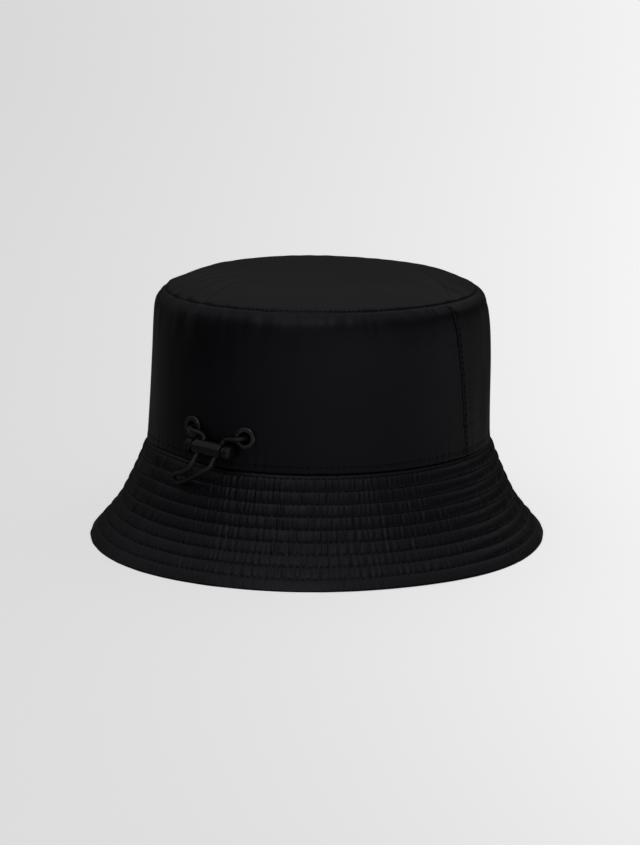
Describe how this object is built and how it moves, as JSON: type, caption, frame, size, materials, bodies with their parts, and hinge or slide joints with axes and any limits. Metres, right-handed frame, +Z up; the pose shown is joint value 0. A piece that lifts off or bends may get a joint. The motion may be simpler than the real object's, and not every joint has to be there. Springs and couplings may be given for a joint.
{
  "type": "bucket hat",
  "caption": "Soft bucket hat with a flat-topped crown, a flared stitched brim, and an elastic drawcord with a cord lock at the back.",
  "frame": {"origin": "on the surface that the brim's edge rests on, under the centre of the brim", "axes": "+Z up, -Y towards the front of the hat, +X towards the wearer's left; the drawcord is at the back, +Y"},
  "size_m": [0.2366, 0.2542, 0.1426],
  "materials": {
    "shell_satin": "black satin-weave nylon with a soft sheen",
    "lining_cloth": "pale peach plain-weave lining",
    "stiffener": "off-white non-woven stiffener",
    "band_cloth": "black twill",
    "label_cloth": "blank woven label",
    "eyelet_metal": "black lacquered brass",
    "elastic_cord": "braided black elastic",
    "lock_plastic": "moulded black nylon",
    "spring_steel": "bright spring wire"
  },
  "bodies": {
    "hat": {"crown_tip": "shell_satin", "crown_front_panel": "shell_satin", "crown_back_panel": "shell_satin", "tip_lining": "lining_cloth", "lining_front_panel": "lining_cloth", "lining_back_panel": "lining_cloth", "brim_top_front": "shell_satin", "brim_top_back": "shell_satin", "brim_interlining_front": "stiffener", "brim_interlining_back": "stiffener", "brim_under_front": "lining_cloth", "brim_under_back": "lining_cloth", "sweatband": "band_cloth", "care_label": "label_cloth", "eyelet_backing_patch": "band_cloth", "eyelet_left": "eyelet_metal", "eyelet_right": "eyelet_metal", "eyelet_left_washer": "eyelet_metal", "eyelet_right_washer": "eyelet_metal", "drawcord_inside": "elastic_cord"},
    "drawcord": {"drawcord_outside": "elastic_cord"},
    "cord_lock": {"lock_barrel": "lock_plastic", "lock_spring": "spring_steel"},
    "left_button": {"lock_left_button": "lock_plastic"},
    "right_button": {"lock_right_button": "lock_plastic"}
  },
  "joints": [
    {"name": "loop_swing", "type": "hinge", "parent": "hat", "child": "drawcord", "pos_m": [0, 0.0961, 0.0689], "axis": [0.998, 0, 0.0628], "range_deg": [0, 60], "deforming": ["drawcord_outside"]},
    {"name": "lock_slide", "type": "slide", "parent": "drawcord", "child": "cord_lock", "axis": [0.0467, 0.6691, -0.7417], "range_m": [0, 0.005]},
    {"name": "left_button_press", "type": "slide", "parent": "cord_lock", "child": "left_button", "axis": [-0.998, 0, -0.0628], "range_m": [0, 0.0013], "stiffness_N_per_m": 300, "deforming": ["lock_spring"]},
    {"name": "right_button_press", "type": "slide", "parent": "cord_lock", "child": "right_button", "axis": [0.998, 0, 0.0628], "range_m": [0, 0.0013], "stiffness_N_per_m": 300}
  ]
}
